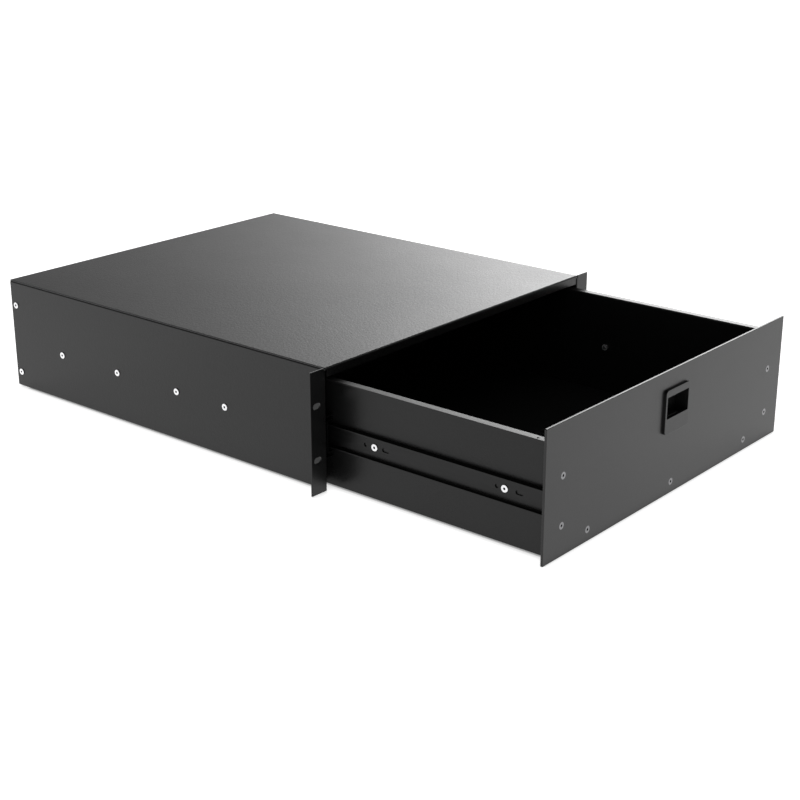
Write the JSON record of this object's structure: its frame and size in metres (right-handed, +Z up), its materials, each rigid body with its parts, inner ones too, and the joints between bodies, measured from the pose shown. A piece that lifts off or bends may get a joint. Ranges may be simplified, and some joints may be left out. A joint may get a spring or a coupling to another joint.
{
  "type": "sliding rack drawer",
  "caption": "Rack-mounted steel drawer on telescopic ball-bearing slides, with rack ears, an open tray and a finger-pull slam latch.",
  "frame": {"origin": "centre of the four rack-ear slots, on the rear (seating) face of the rack ears", "axes": "+X to the right as seen from the front, +Y towards the rear of the rack, +Z up"},
  "size_m": [0.4826, 0.7682, 0.1333],
  "materials": {
    "case_powder_coat": "fine-grained satin black powder coat on 1.5 mm steel sheet",
    "tray_powder_coat": "satin black powder coat on 1.2 mm steel sheet",
    "faceplate_coat": "smooth satin black coat with eased edges",
    "slide_black_steel": "black electro-coated rolled steel, lightly greased",
    "zinc_fastener": "bright zinc plate",
    "black_screw": "black oxide",
    "retainer_zinc_steel": "zinc-plated spring steel strip",
    "bearing_steel": "polished ball",
    "bumper_rubber": "black rubber",
    "latch_plastic": "fine-textured black glass-filled nylon",
    "latch_bolt_plastic": "smooth black acetal",
    "spring_steel": "bright drawn wire"
  },
  "bodies": {
    "case": {"case_top": "case_powder_coat", "case_side_left": "case_powder_coat", "case_side_right": "case_powder_coat", "case_back": "case_powder_coat", "back_panel_screws": "zinc_fastener", "back_panel_nuts": "zinc_fastener", "slide_to_case_screws": "zinc_fastener", "slide_outer_left": "slide_black_steel", "slide_outer_right": "slide_black_steel", "slide_bumpers": "bumper_rubber"},
    "slide_middle": {"slide_middle_left": "slide_black_steel", "slide_middle_right": "slide_black_steel"},
    "outer_retainers": {"ball_retainer_outer_left": "retainer_zinc_steel", "ball_retainer_outer_right": "retainer_zinc_steel", "slide_balls_outer": "bearing_steel"},
    "inner_retainers": {"ball_retainer_inner_left": "retainer_zinc_steel", "ball_retainer_inner_right": "retainer_zinc_steel", "slide_balls_inner": "bearing_steel"},
    "drawer": {"drawer_floor": "tray_powder_coat", "drawer_side_left": "tray_powder_coat", "drawer_side_right": "tray_powder_coat", "drawer_back": "tray_powder_coat", "faceplate": "faceplate_coat", "faceplate_screws": "black_screw", "faceplate_nuts": "zinc_fastener", "slide_inner_left": "slide_black_steel", "slide_inner_right": "slide_black_steel", "slide_to_drawer_screws": "zinc_fastener", "slide_to_drawer_nuts": "zinc_fastener", "latch_housing": "latch_plastic", "latch_cover": "latch_plastic", "latch_cover_screws": "black_screw", "latch_springs": "spring_steel"},
    "latch_bolt": {"latch_bolt": "latch_bolt_plastic"}
  },
  "joints": [
    {"name": "slide_first_stage", "type": "slide", "parent": "case", "child": "slide_middle", "axis": [0, -1, 0], "range_m": [0, 0.2315]},
    {"name": "slide_second_stage", "type": "slide", "parent": "slide_middle", "child": "drawer", "axis": [0, -1, 0], "range_m": [-0.2625, 0]},
    {"name": "outer_retainer_roll", "type": "slide", "parent": "case", "child": "outer_retainers", "axis": [0, -1, 0], "range_m": [0, 0.11575]},
    {"name": "inner_retainer_roll", "type": "slide", "parent": "slide_middle", "child": "inner_retainers", "axis": [0, -1, 0], "range_m": [-0.13125, 0]},
    {"name": "latch_bolt_slide", "type": "slide", "parent": "drawer", "child": "latch_bolt", "axis": [0, 0, -1], "range_m": [0, 0.0065], "stiffness_N_per_m": 400, "springref_m": -0.008, "deforming": ["latch_springs"]}
  ],
  "couplings": [
    {"joint": "outer_retainer_roll", "follows": "slide_first_stage", "ratio": 0.5},
    {"joint": "inner_retainer_roll", "follows": "slide_second_stage", "ratio": 0.5}
  ]
}
